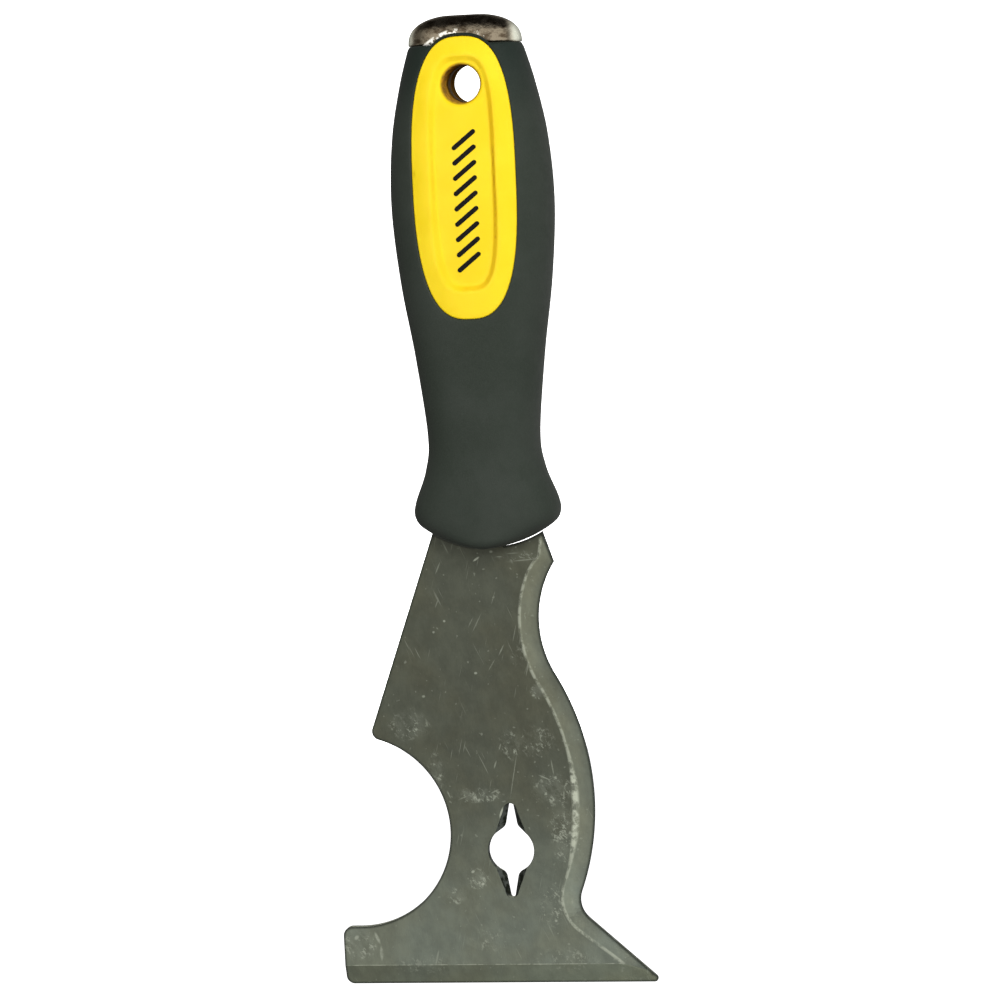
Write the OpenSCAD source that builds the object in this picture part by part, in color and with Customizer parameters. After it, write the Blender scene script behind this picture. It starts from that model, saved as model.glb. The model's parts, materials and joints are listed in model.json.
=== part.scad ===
// Painter's multi tool: a stamped steel blade that scrapes, rakes cracks,
// cleans rollers and pulls nails, in a two-colour grip with a striking cap.
//
// Frame: X across the blade, +Z along the handle, -Y the side with the ground
// bevels. The origin is the centre of the hanging hole, in the mid plane of
// the blade. Sizes are in millimetres.

/* [Blade] */
// Thickness of the blade and its tang
blade_t = 2.0; // [1.6:0.1:2.2]
// Distance of the scraping edge below the hanging hole
edge_drop = 205.3; // [204.5:0.2:207.1]
// Width of the ground bevel along the side edge
bevel_w = 4.2; // [3.4:0.1:4.6]
// Width of the ground bevel along the scraping edge
scraper_w = 4.6; // [3.8:0.1:5]
// Thickness left along the side edge where its bevel has the full width
edge_land = 0.8; // [0.5:0.1:1.2]
// Radius of the notch that cleans rollers
notch_r = 22.2; // [21.5:0.1:22.8]
// Radius of the round part of the nail puller
puller_r = 5.3; // [4.8:0.1:5.5]
// Gap between the shoulder of the blade and the grip
shoulder_gap = 0.35; // [0.35:0.05:1]
// Radius of the hanging hole in the tang
tang_hole_r = 4.0; // [3.7:0.1:4.1]

/* [Grip] */
// Widest part of the handle, across X
belly_w = 36.9; // [35.9:0.2:38.9]
// Thickest part of the handle, across Y
belly_t = 22.6; // [21.6:0.2:24]
// Width of the neck
neck_w = 25.5; // [24.7:0.2:26.7]
// Width of the flare at the heel
flare_w = 33.5; // [32.5:0.2:34.9]
// Thickness of the soft grip over the core
grip_wall = 2.4; // [2:0.1:2.6]
// Depth of the recessed panel in the window of the core
panel_depth = 1.1; // [0.6:0.1:1.4]
// Radius of the wider hole in the core, round the hanging hole
hole_r = 4.2; // [4.2:0.1:4.6]

/* [Cap] */
// Height of the cap above the shoulder of the grip
cap_h = 6.6; // [6:0.1:7.4]
// Thickness of the cap at its base, across Y
cap_t = 11.6; // [11:0.1:12]
// Radius of the pin that holds the cap on the tang
pin_r = 1.2; // [1:0.1:1.3]

/* [Hidden] */

// Fitting gap between neighbouring parts, reach of a cut past the whole tool,
// and the little by which a cut starts outside a face
gap = 0.05;
reach = 120;
skin = 0.01;

// Corners of the blade where it leaves the grip, and the spur below them
shoulder_left = [-12.92, -100.99];
shoulder_right = [12.24, -101.41];
shoulder_r = 24;
spur = [14.45, -108.2];
flank_tilt = 20.15;

// Side edge from the spur to the tip: hollow, belly, root and a straight
hollow_c = [35, -122];
hollow_r = 24.6;
hollow_end = 209.8;
belly_r = 58.3;
root_r = 5.5;
tip_x = 35.6;
tip_slope = -42.1;
tip_r = 0.9;

// Bevel at the shoulder and at the spur: direction into the steel and share
// of the full width and depth. At the tip only the share, and its loss per step
// on the way there. The margin is how far the cut starts outside the bevel.
shoulder_grind = [200, 0.1];
spur_grind = [172, 0.85];
tip_grind = 0.45;
root_loss = 0.03;
grind_margin = 0.3;

// Foot at the left end of the scraping edge, and the notch above it
foot_x = -38.55;
foot_top_r = 2.1;
foot_low_r = 1.8;
notch_c = [-34.4, -169.5];
wedge_r = 2;

// Nail puller: a round hole with a tapered slot above and below it. The mouth
// is on the front face and the throat goes through; each has its half width in
// line with the centre, the radius of its tip and of its flare at the hole.
puller_c = [1.7, -174.3];
puller_tilt = 1.2;
vee_reach = 10.9;
vee_mouth = [5, 1.5, 0.3];
vee_throat = [2.4, 0.5, 2];
vee_land = 0.4;

// Tang inside the handle: height and half width, from the blade upward
tang_steps = [
    [-107, 3.5], [-102, 3.5], [-98, 6.5], [-60, 6.5], [-48, 9], [4, 9], [7, 5.5], [13.2, 5.5]
];

// Handle from above the shoulder to the flare: height, half width and half
// thickness of each station. The first and the last only steer the curve.
flare_t = 18.8;
heel_z = -104.4;
heel_r = 25.4;
heel_corner_r = 4.2;
heel_round = 2.4;
heel_last = -87;
heel_c = [0, heel_z + heel_r];
corner_x = flare_w / 2 - heel_corner_r;
flare_z = heel_c[1] - sqrt(pow(heel_r - heel_corner_r, 2) - pow(corner_x, 2));
shoulder_z = 8.8;
stations = [
    [17, 10.6, 6.1],
    [13, 11.7, 6.8],
    [shoulder_z, 12.85, 7.4],
    [0, 15.3, 9.6],
    [-12, 17.6, belly_t / 2 - 0.4],
    [-27, belly_w / 2, belly_t / 2],
    [-44, belly_w / 2 - 1.3, belly_t / 2 - 0.4],
    [-61, neck_w / 2 + 1.9, belly_t / 2 - 1.7],
    [-79, neck_w / 2, flare_t / 2 - 0.7],
    [-87, neck_w / 2 + 1, flare_t / 2 - 0.5],
    [flare_z, flare_w / 2, flare_t / 2],
    [flare_z - 9, flare_w / 2 - 2.2, flare_t / 2]
];
section_power = 2.5;
ring_sides = 32;
ring_steps = 3;

// Core, the window where it shows in the grip, and the panel in the window
core_top = shoulder_z - 0.2;
core_bottom = -95.5;
window_mid = -20.9;
window_half = [11.8, 31.5];
window_power = 2.7;
window_rim = 0.7;
window_sink = 0.25;
panel_mid = -19.9;
panel_half = [6.95, 25.6];
panel_power = 3.5;

// Mouth of the hole in the core: radius of its rounding, its depth under the
// panel, and so its distance from the mid plane
hole_round = 1.1;
mouth_sink = 0.3;
hole_mouth = stations[3][2] - window_sink - panel_depth - mouth_sink;

// Rivets through the core and the tang: height and half length of each
rivets = [[-58, 7.1], [-84, 6.1]];
rivet_r = 1.5;
rivet_head = [3, 1.2];

// Cap: a dome on a shank that straddles the head of the tang. The crown is
// the angle at which the dome is cut flat.
cap_half_w = 12.8;
cap_power = 2.5;
cap_section_power = 3;
crown = 75;
cap_steps = 10;
shank = [6.5, 4.8];
shank_z = 6.2;
pin_z = shoulder_z;
pin_half = 4.7;

// ------------------------------------------------------------ geometry

function dir(a) = [cos(a), sin(a)];

function angle_to(a, b) = atan2(b[1] - a[1], b[0] - a[0]);

// Points along an arc, without its first point
function arc(c, r, a0, a1, n) = [for (i = [1:n]) c + r * dir(a0 + (a1 - a0) * i / n)];

// Centre of a circle of radius f on the n side of the line through q along d,
// touching the circle of centre c and radius r from outside. end is 1 for the
// place furthest along d, and -1 for the other one.
function touching_centre(q, d, n, f, c, r, end) =
    let (p = q + f * n - c, along = p * d, rest = along * along - p * p + pow(r + f, 2))
    q + f * n + (end * sqrt(rest) - along) * d;

function signed_power(v, e) = sign(v) * pow(abs(v), e);

function superellipse(half, power, n) = [
    for (i = [0:n - 1])
        let (a = 360 * i / n)
        [half[0] * signed_power(cos(a), 2 / power), half[1] * signed_power(sin(a), 2 / power)]
];

// Catmull-Rom curve from b to c
function blend(a, b, c, d, t) =
    b + t / 2 * (c - a + t * (2 * a - 5 * b + 4 * c - d + t * (3 * (b - c) + d - a)));

function inset(rings, by) = [for (r = rings) [r[0], max(r[1] - by, 0.5), r[2] - by]];

// Skin through superellipse rings of [height, half width, half thickness]
module loft(rings, power) {
    n = ring_sides;
    last = len(rings) - 1;
    points = [for (r = rings) for (p = superellipse([r[1], r[2]], power, n)) [p[0], p[1], r[0]]];
    top = [for (k = [0:n - 1]) n - 1 - k];
    bottom = [for (k = [0:n - 1]) last * n + k];
    walls = [
        for (i = [0:last - 1])
            for (k = [0:n - 1])
                let (a = i * n + k, b = i * n + (k + 1) % n)
                each [[a, b, b + n], [a, b + n, a + n]]
    ];
    polyhedron(points, concat([top, bottom], walls));
}

// An outline in X and Z, given thickness from y0 to y1
module plate(y0, y1) {
    translate([0, y1, 0]) rotate([90, 0, 0]) linear_extrude(y1 - y0) children();
}

// A round bar along Y
module bar(x, z, r, y0, y1) {
    translate([x, y1, z]) rotate([90, 0, 0]) cylinder(r = r, h = y1 - y0, $fn = 64);
}

// A block given by its lowest and highest corners
module block(low, high) {
    translate(low) cube(high - low);
}

// --------------------------------------------------------------- blade

belly_c = hollow_c + (hollow_r + belly_r) * dir(hollow_end);
tip = [tip_x, -edge_drop];
tip_c = tip + tip_r * [1 / tan(tip_slope / 2), 1];
root_c = touching_centre(tip, dir(tip_slope), dir(tip_slope + 90), root_r, belly_c, belly_r, 1);
wedge_c = touching_centre(shoulder_left, dir(-90 - flank_tilt), dir(-flank_tilt), wedge_r,
                          notch_c, notch_r, -1);
foot_top = notch_c[1] - notch_r;
shoulder_c = [0, heel_z - shoulder_gap + shoulder_r];

// Stations down the side edge: point, direction into the steel, bevel width
hollow_start = angle_to(hollow_c, spur);
belly_end = angle_to(belly_c, root_c);
root_start = 180 + belly_end;
side_edge = concat(
    [
        [shoulder_right, dir(shoulder_grind[0]), shoulder_grind[1]],
        [hollow_c + hollow_r * dir(hollow_start), dir(spur_grind[0]), spur_grind[1]]
    ],
    [for (i = [1:12]) let (k = i / 12, a = hollow_start + (hollow_end - hollow_start) * k)
        [hollow_c + hollow_r * dir(a), dir(a), min(1, spur_grind[1] + k)]],
    [for (i = [1:16]) let (a = hollow_end - 180 + (belly_end - hollow_end + 180) * i / 16)
        [belly_c + belly_r * dir(a), -dir(a), 1]],
    [for (i = [1:5]) let (a = root_start + (tip_slope + 270 - root_start) * i / 5)
        [root_c + root_r * dir(a), dir(a), 1 - root_loss * i]],
    [[tip, dir(tip_slope - 90), tip_grind]]
);

module blade_outline() {
    polygon(concat(
        arc(shoulder_c, shoulder_r, angle_to(shoulder_c, shoulder_left),
            angle_to(shoulder_c, shoulder_right), 16),
        [for (i = [1:len(side_edge) - 2]) side_edge[i][0]],
        arc(tip_c, tip_r, tip_slope + 90, -90, 4),
        arc([foot_x + foot_low_r, foot_low_r - edge_drop], foot_low_r, -90, -180, 6),
        arc([foot_x + foot_top_r, foot_top - foot_top_r], foot_top_r, 180, 90, 6),
        arc(notch_c, notch_r, -90, angle_to(notch_c, wedge_c), 40),
        arc(wedge_c, wedge_r, 180 + angle_to(notch_c, wedge_c), 180 - flank_tilt, 5),
        [shoulder_left]
    ));
}

module tang_outline(grow) {
    polygon(concat(
        [for (s = tang_steps) [s[1] + grow, s[0]]],
        [for (i = [len(tang_steps) - 1:-1:0]) [-tang_steps[i][1] - grow, tang_steps[i][0]]]
    ));
}

// Wedge that grinds the bevel along the side edge
module side_grind() {
    m = grind_margin;
    points = [
        for (s = side_edge)
            let (
                inner = s[0] + (1 + m) * bevel_w * s[2] * s[1],
                outer = s[0] - m * bevel_w * s[2] * s[1],
                depth = (blade_t - edge_land) * s[2],
                front = -blade_t / 2 - m * depth,
                back = -blade_t / 2 + (1 + m) * depth
            )
            each [[inner[0], front, inner[1]], [outer[0], back, outer[1]], [outer[0], front, outer[1]]]
    ];
    last = 3 * (len(side_edge) - 1);
    walls = [
        for (i = [0:3:last - 3])
            for (k = [0:2])
                let (a = i + k, b = i + (k + 1) % 3)
                each [[a, a + 3, b + 3], [a, b + 3, b]]
    ];
    polyhedron(points, concat([[0, 1, 2], [last + 2, last + 1, last]], walls));
}

// Wedge that grinds the bevel along the scraping edge
module scraper_grind() {
    depth = blade_t - edge_land / 2;
    translate([-reach, 0, -edge_drop]) rotate([90, 0, 90]) linear_extrude(2 * reach)
        polygon([
            [-blade_t / 2 - depth, 2 * scraper_w],
            [-blade_t / 2 + 2 * depth, -scraper_w],
            [-blade_t / 2 - depth, -scraper_w]
        ]);
}

// Solid between one outline at y0 and another, with as many points, at y1. Both
// run counter-clockwise as seen from -Y.
module taper(from, to, y0, y1) {
    n = len(from);
    points = concat([for (p = from) [p[0], y0, p[1]]], [for (p = to) [p[0], y1, p[1]]]);
    near = [for (k = [0:n - 1]) n - 1 - k];
    far = [for (k = [0:n - 1]) n + k];
    walls = [for (k = [0:n - 1]) let (m = (k + 1) % n) each [[k, m + n, k + n], [k, m, m + n]]];
    polyhedron(points, concat([near, far], walls));
}

// Outline of one slot of the nail puller: from inside the hole along the flare
// and the side to the tip, and back down the other side
function vee(v) =
    let (
        base = [v[0], 0],
        nose = [0, vee_reach - v[1]],
        along = (nose + [v[1], 0] - base) / norm(nose + [v[1], 0] - base),
        out = [along[1], -along[0]],
        flare_c = touching_centre(base, along, out, v[2], [0, 0], puller_r, 1),
        side = concat(
            [0.9 * puller_r * flare_c / norm(flare_c)],
            arc(flare_c, v[2], angle_to(flare_c, [0, 0]), angle_to(out, [0, 0]), 5),
            arc(nose, v[1], 0, 90, 3)
        ),
        last = len(side) - 1
    )
    concat(side, [for (i = [last - 1:-1:0]) [-side[i][0], side[i][1]]]);

module nail_puller() {
    translate([puller_c[0], 0, puller_c[1]]) rotate([0, puller_tilt, 0]) {
        bar(0, 0, puller_r, -reach, reach);
        for (flip = [0, 1]) mirror([0, 0, flip]) {
            plate(-reach, reach) polygon(vee(vee_throat));
            taper(vee(vee_mouth), vee(vee_throat), -blade_t / 2 - skin, blade_t / 2 - vee_land);
        }
    }
}

module blade() {
    color("#6b7066") difference() {
        union() {
            plate(-blade_t / 2, blade_t / 2) blade_outline();
            plate(-blade_t / 2, blade_t / 2) tang_outline(0);
        }
        side_grind();
        scraper_grind();
        nail_puller();
        bar(0, 0, tang_hole_r, -reach, reach);
        bar(0, pin_z, pin_r + gap, -reach, reach);
        for (r = rivets) bar(0, r[0], rivet_r + gap, -reach, reach);
    }
}

// ---------------------------------------------------------------- grip

side_rings = [
    for (i = [1:len(stations) - 3])
        for (j = [0:ring_steps - 1])
            blend(stations[i - 1], stations[i], stations[i + 1], stations[i + 2], j / ring_steps)
];
heel_turn = -atan2(heel_c[1] - flare_z, corner_x);
heel_outline = concat(
    [[flare_w / 2, flare_z]],
    arc([corner_x, flare_z], heel_corner_r, 0, heel_turn, 3),
    arc(heel_c, heel_r, heel_turn, heel_last, 7)
);
grip_rings = concat(side_rings, [for (p = heel_outline) [p[1], p[0], heel_half_t(p[1])]]);

// Half thickness of the heel, rounded towards its end
function heel_half_t(z) =
    let (k = max(0, heel_z + heel_round - z) / heel_round)
    flare_t / 2 - heel_round * (1 - sqrt(max(0, 1 - k * k)));

module window_outline(grow) {
    translate([0, window_mid])
        polygon(superellipse([window_half[0] + grow, window_half[1] + grow], window_power, 48));
}

module grip_sleeve() {
    color("#40463f") difference() {
        intersection() {
            loft(grip_rings, section_power);
            union() {
                block([-reach, -reach, -reach], [reach, reach, shoulder_z]);
                plate(-reach, reach) window_outline(window_rim);
            }
        }
        plate(-reach, reach) window_outline(0);
        intersection() {
            loft(inset(grip_rings, grip_wall), section_power);
            block([-reach, -reach, core_bottom - gap], [reach, reach, shoulder_z + 1]);
        }
        cap_room();
        tang_room();
    }
}

// Space for the cap between the lips of the grip, and for its shank below
module cap_room() {
    block([-reach, -cap_t / 2 - gap, shoulder_z], [reach, cap_t / 2 + gap, reach]);
    block([-shank[0] - gap, -shank[1] - gap, shank_z - gap], [shank[0] + gap, shank[1] + gap, reach]);
}

module tang_room() {
    plate(-blade_t / 2 - gap, blade_t / 2 + gap) tang_outline(gap);
}

// Cut that rounds the mouth of the hole in the core, on the +Z side
module hole_rim() {
    wide = hole_r + hole_round;
    rotate_extrude($fn = 64) polygon(concat(
        [[0, hole_mouth + reach], [0, hole_mouth - hole_round], [hole_r, hole_mouth - hole_round]],
        arc([wide, hole_mouth - hole_round], hole_round, 180, 90, 5),
        [[wide, hole_mouth + reach]]
    ));
}

module core() {
    difference() {
        union() {
            intersection() {
                loft(inset(grip_rings, grip_wall + gap), section_power);
                block([-reach, -reach, core_bottom], [reach, reach, core_top]);
            }
            intersection() {
                loft(inset(grip_rings, window_sink), section_power);
                plate(-reach, reach) window_outline(-gap);
            }
        }
        difference() {
            plate(-reach, reach) translate([0, panel_mid])
                polygon(superellipse(panel_half, panel_power, 48));
            loft(inset(grip_rings, window_sink + panel_depth), section_power);
        }
        tang_room();
        cap_room();
        bar(0, 0, hole_r, -reach, reach);
        for (turn = [90, -90]) rotate([turn, 0, 0]) hole_rim();
        for (r = rivets) {
            bar(0, r[0], rivet_r + gap, -reach, reach);
            for (y = [-1, 1]) {
                head = r[1] - rivet_head[1] - gap;
                bar(0, r[0], rivet_head[0] + gap, y > 0 ? head : -reach, y > 0 ? reach : -head);
            }
        }
    }
}

module core_front() {
    color("#f7d11e") intersection() {
        core();
        block([-reach, -reach, -reach], [reach, -gap / 2, reach]);
    }
}

module core_rear() {
    color("#f7d11e") intersection() {
        core();
        block([-reach, gap / 2, -reach], [reach, reach, reach]);
    }
}

module core_rivets() {
    color("#a8a8a4") for (r = rivets) {
        bar(0, r[0], rivet_r, -r[1], r[1]);
        bar(0, r[0], rivet_head[0], -r[1], rivet_head[1] - r[1]);
        bar(0, r[0], rivet_head[0], r[1] - rivet_head[1], r[1]);
    }
}

// ----------------------------------------------------------------- cap

module hammer_cap() {
    base = shoulder_z + gap;
    full = signed_power(sin(crown), 2 / cap_power);
    rings = [
        for (i = [0:cap_steps])
            let (a = crown * (1 - i / cap_steps), k = signed_power(cos(a), 2 / cap_power))
            [base + (cap_h - gap) * signed_power(sin(a), 2 / cap_power) / full,
             cap_half_w * k, cap_t / 2 * k]
    ];
    color("#c9c9c5") difference() {
        union() {
            loft(rings, cap_section_power);
            block([-shank[0], -shank[1], shank_z], [shank[0], shank[1], base + 1]);
        }
        tang_room();
        bar(0, pin_z, pin_r + gap, -reach, reach);
    }
}

module cap_pin() {
    color("#a8a8a4") bar(0, pin_z, pin_r, -pin_half, pin_half);
}

blade();
core_front();
core_rear();
core_rivets();
grip_sleeve();
hammer_cap();
cap_pin();
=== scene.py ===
"""A painter's multi tool: a ground steel blade, a two-colour grip and a bright striking cap.

The row frame is the CAD's: X across the blade, +Z along the handle, -Y on the ground side, and
the origin at the centre of the hanging hole. Shapes are worked out in millimetres.
"""

import json
import math

import bpy
import bmesh
import numpy as np
from mathutils import Matrix, Vector
from mathutils.geometry import delaunay_2d_cdt


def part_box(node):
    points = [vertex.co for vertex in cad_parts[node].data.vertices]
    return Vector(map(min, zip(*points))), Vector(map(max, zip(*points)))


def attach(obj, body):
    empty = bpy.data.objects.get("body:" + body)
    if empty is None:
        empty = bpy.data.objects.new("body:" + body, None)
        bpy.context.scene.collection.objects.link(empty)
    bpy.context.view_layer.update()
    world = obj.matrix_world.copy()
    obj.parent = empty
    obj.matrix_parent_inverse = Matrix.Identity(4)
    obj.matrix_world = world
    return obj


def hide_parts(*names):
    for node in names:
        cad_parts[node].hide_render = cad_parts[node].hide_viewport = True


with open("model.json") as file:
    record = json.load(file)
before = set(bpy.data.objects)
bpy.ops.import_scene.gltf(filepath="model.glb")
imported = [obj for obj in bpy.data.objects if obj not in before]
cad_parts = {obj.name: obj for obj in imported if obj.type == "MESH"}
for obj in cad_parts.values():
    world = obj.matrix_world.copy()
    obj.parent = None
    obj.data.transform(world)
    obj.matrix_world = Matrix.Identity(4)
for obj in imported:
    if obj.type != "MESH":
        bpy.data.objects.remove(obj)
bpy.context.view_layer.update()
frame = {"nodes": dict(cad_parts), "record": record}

MM = 0.001
rng = np.random.default_rng(7)

# ---------------------------------------------------------------- sizes, mm


def box_mm(node):
    low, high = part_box(node)
    return np.array(low) / MM, np.array(high) / MM


blade_low, blade_high = box_mm("blade")
sleeve_low, sleeve_high = box_mm("grip_sleeve")
cap_high = box_mm("hammer_cap")[1]
tang_hole_r = frame["record"]["mounts"][0]["dims"]["r_mm"]

# Blade: thickness, grinds and the corners of its outline
blade_t = blade_high[1] - blade_low[1]
edge_z = blade_low[2]
edge_land = 0.8
bevel_w = 4.2
scraper_w = 4.6
edge_roll = 0.12
shoulder_left = np.array([-12.92, -100.99])
shoulder_right = np.array([12.24, -101.41])
shoulder_r = 24.0
shoulder_gap = 0.35
spur = np.array([14.45, -108.2])
flank_tilt = 20.15
hollow_c = np.array([35.0, -122.0])
hollow_r = 24.6
hollow_end = 209.8
belly_r = 58.3
root_r = 5.5
tip_x = 35.6
tip_slope = -42.1
tip_r = 0.9
foot_x = blade_low[0]
foot_top_r = 2.1
foot_low_r = 1.8
notch_c = np.array([-34.4, -169.5])
notch_r = 22.2
wedge_r = 2.0

# Nail puller. Of each slot: half width in line with the centre, radius of the tip, of the flare
puller_c = np.array([1.7, -174.3])
puller_r = 5.3
puller_tilt = 1.2
vee_reach = 10.9
vee_mouth = (5.0, 1.5, 0.3)
vee_throat = (2.4, 0.5, 2.0)
vee_land = 0.4

# Tang, and the holes through it: height and radius
tang_steps = [(-102, 3.5), (-98, 6.5), (-60, 6.5), (-48, 9), (4, 9), (7, 5.5), (13.2, 5.5)]
tang_holes = [(0, tang_hole_r), (8.8, 1.25), (-58, 1.55), (-84, 1.55)]

# Handle: stations of height, half width and half thickness, then the heel
belly_w = sleeve_high[0] - sleeve_low[0]
belly_t = 22.6
neck_w = 25.5
flare_w = 33.5
flare_t = 18.8
heel_z = sleeve_low[2]
heel_r = 25.4
heel_corner_r = 4.2
heel_round = 2.4
grip_wall = 2.2
shoulder_z = 8.8
section_power = 2.5

# Window in the grip, panel sunk into the core, and the core's hole round the tang's hanging
# hole: hole_throat is the distance from the middle where the rounding of its mouth ends
window_mid = -20.9
window_half = np.array([11.8, 31.5])
window_power = 2.7
window_rim = 0.7
window_sink = 0.25
panel_mid = -19.9
panel_half = np.array([6.95, 25.6])
panel_power = 3.5
panel_depth = 1.1
panel_wall = 1.3
hole_r = 4.2
hole_round = 1.1
hole_throat = 6.45

# Cap
cap_half_w = cap_high[0]
cap_half_t = cap_high[1]
cap_base = shoulder_z + 0.05
cap_power = 2.5
cap_section_power = 3.0

# --------------------------------------------------------------- plane curves


def polar(degrees):
    a = math.radians(degrees)
    return np.array([math.cos(a), math.sin(a)])


def angle_to(a, b):
    return math.degrees(math.atan2(b[1] - a[1], b[0] - a[0]))


def arc(centre, r, start, end, step=0.7):
    """Points along an arc, both ends included."""
    n = max(4, int(abs(math.radians(end - start)) * r / step))
    return np.array([centre + r * polar(a) for a in np.linspace(start, end, n + 1)])


def line(a, b, step=0.9):
    n = max(1, int(np.linalg.norm(np.subtract(b, a)) / step))
    return np.linspace(a, b, n + 1)


def chain(*parts):
    """Parts laid end to end, without the points that two of them share."""
    points = np.vstack(parts)
    keep = [0]
    for i in range(1, len(points)):
        if np.linalg.norm(points[i] - points[keep[-1]]) > 1e-4:
            keep.append(i)
    return points[keep]


def closed(*parts):
    """A closed loop, counter-clockwise, without a repeated last point."""
    points = chain(*parts)
    if np.linalg.norm(points[0] - points[-1]) < 1e-4:
        points = points[:-1]
    x, y = points.T
    area = np.dot(x, np.roll(y, -1)) - np.dot(y, np.roll(x, -1))
    return points if area > 0 else points[::-1]


def offset(loop, by):
    """A closed counter-clockwise loop moved inwards by a distance."""
    before = loop - np.roll(loop, 1, 0)
    after = np.roll(loop, -1, 0) - loop
    n0 = np.stack([-before[:, 1], before[:, 0]], 1) / np.linalg.norm(before, axis=1)[:, None]
    n1 = np.stack([-after[:, 1], after[:, 0]], 1) / np.linalg.norm(after, axis=1)[:, None]
    turn = np.maximum((n0 * n1).sum(1), -0.6)
    return loop + (n0 + n1) * (by / (1 + turn))[:, None]


def touching_centre(q, d, n, f, c, r, end):
    """Centre of a circle of radius f beside a line, touching the circle c, r from outside."""
    p = q + f * n - c
    along = p @ d
    rest = along * along - p @ p + (r + f) ** 2
    return q + f * n + (end * math.sqrt(rest) - along) * d


def superellipse(half, power, n):
    a = np.linspace(0, 2 * math.pi, n, endpoint=False)
    e = 2 / power
    return np.stack([half[0] * np.sign(np.cos(a)) * np.abs(np.cos(a)) ** e,
                     half[1] * np.sign(np.sin(a)) * np.abs(np.sin(a)) ** e], 1)


def smooth(t):
    t = np.clip(t, 0, 1)
    return t * t * (3 - 2 * t)


def nearest(points, curve):
    """Distance from each point to an open curve, and the place along it from 0 to 1."""
    a, b = curve[:-1], curve[1:]
    d = b - a
    length = np.linalg.norm(d, axis=1)
    start = np.concatenate([[0], np.cumsum(length)])
    v = points[:, None, :] - a[None]
    h = np.clip((v * d).sum(2) / (length ** 2), 0, 1)
    dist = np.linalg.norm(v - h[..., None] * d, axis=2)
    i = dist.argmin(1)
    k = np.arange(len(points))
    return dist[k, i], (start[i] + h[k, i] * length[i]) / start[-1]


def inside(points, loop):
    """Even-odd test of points in a closed loop."""
    a, b = loop, np.roll(loop, -1, 0)
    x, y = points[:, 0, None], points[:, 1, None]
    crosses = (a[:, 1] > y) != (b[:, 1] > y)
    dy = np.where(b[:, 1] == a[:, 1], 1e-12, b[:, 1] - a[:, 1])
    return (crosses & (x < a[:, 0] + (y - a[:, 1]) * (b[:, 0] - a[:, 0]) / dy)).sum(1) % 2 == 1


def fill(loops, chains, grids):
    """Triangles inside the first loop and outside the others, along the chains. A grid is
    (low, high, spacing): scattered points between two corners."""
    points, edges = [], []
    for loop in loops:
        k = len(points)
        points += list(loop)
        edges += [(k + i, k + (i + 1) % len(loop)) for i in range(len(loop))]
    for c in chains:
        k = len(points)
        points += list(c)
        edges += [(k + i, k + i + 1) for i in range(len(c) - 1)]
    fixed = np.array(points)
    for low, high, spacing in grids:
        rows = np.arange(low[1], high[1], spacing * 0.87)
        cols = np.arange(low[0], high[0], spacing)
        x = cols[None] + (np.arange(len(rows)) % 2)[:, None] * spacing / 2
        grid = np.stack([x, np.broadcast_to(rows[:, None], x.shape)], 2).reshape(-1, 2)
        grid = grid + rng.uniform(-0.12, 0.12, grid.shape) * spacing
        ok = inside(grid, loops[0])
        for loop in loops[1:]:
            ok &= ~inside(grid, loop)
        grid = grid[ok]
        far = np.array([np.min(np.sum((fixed - g) ** 2, 1)) for g in grid]) > (0.55 * spacing) ** 2
        points += list(grid[far])
    verts, _, faces, *_ = delaunay_2d_cdt([Vector(p) for p in points], edges, [], 0, 1e-6, False)
    verts = np.array([tuple(v) for v in verts])
    faces = np.array([f for f in faces if len(f) == 3])
    middle = verts[faces].mean(1)
    ok = inside(middle, loops[0])
    for loop in loops[1:]:
        ok &= ~inside(middle, loop)
    return verts, faces[ok]


# ------------------------------------------------------------------ meshes


class Skin:
    """Collects points in millimetres and faces, and welds them into one mesh."""

    def __init__(self):
        self.points, self.faces = [], []

    def add(self, points, faces):
        k = len(self.points)
        self.points += [tuple(p) for p in points]
        self.faces += [tuple(int(i) + k for i in f) for f in faces]

    def strip(self, rings, wrap=True):
        """Quads between rings of as many points each."""
        n = len(rings[0])
        last = n if wrap else n - 1
        faces = [(r * n + i, r * n + (i + 1) % n, (r + 1) * n + (i + 1) % n, (r + 1) * n + i)
                 for r in range(len(rings) - 1) for i in range(last)]
        self.add(np.vstack(rings), faces)

    def build(self, name, material, node):
        weld = 0.004 * MM
        mesh = bpy.data.meshes.new(name)
        mesh.from_pydata([tuple(c * MM for c in p) for p in self.points], [], self.faces)
        bm = bmesh.new()
        bm.from_mesh(mesh)
        bmesh.ops.remove_doubles(bm, verts=bm.verts, dist=weld)
        bmesh.ops.dissolve_degenerate(bm, edges=bm.edges, dist=weld * 0.1)
        bmesh.ops.recalc_face_normals(bm, faces=bm.faces)
        bm.to_mesh(mesh)
        bm.free()
        mesh.shade_smooth()
        mesh.materials.append(material)
        piece = bpy.data.objects.new(name, mesh)
        bpy.context.scene.collection.objects.link(piece)
        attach(piece, "root")
        if node:
            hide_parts(node)
        return piece


def plane_to_space(points, y):
    return np.stack([points[:, 0], np.broadcast_to(y, len(points)), points[:, 1]], 1)


def attribute(piece, name, values):
    layer = piece.data.attributes.new(name, "FLOAT", "POINT")
    layer.data.foreach_set("value", np.asarray(values, np.float32))


def piece_points(piece):
    flat = np.zeros(len(piece.data.vertices) * 3)
    piece.data.vertices.foreach_get("co", flat)
    return flat.reshape(-1, 3) / MM


def weighted_normals(piece):
    modifier = piece.modifiers.new("weighted normals", "WEIGHTED_NORMAL")
    modifier.weight = 90
    modifier.keep_sharp = True


# ------------------------------------------------------------- shader nodes


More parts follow.
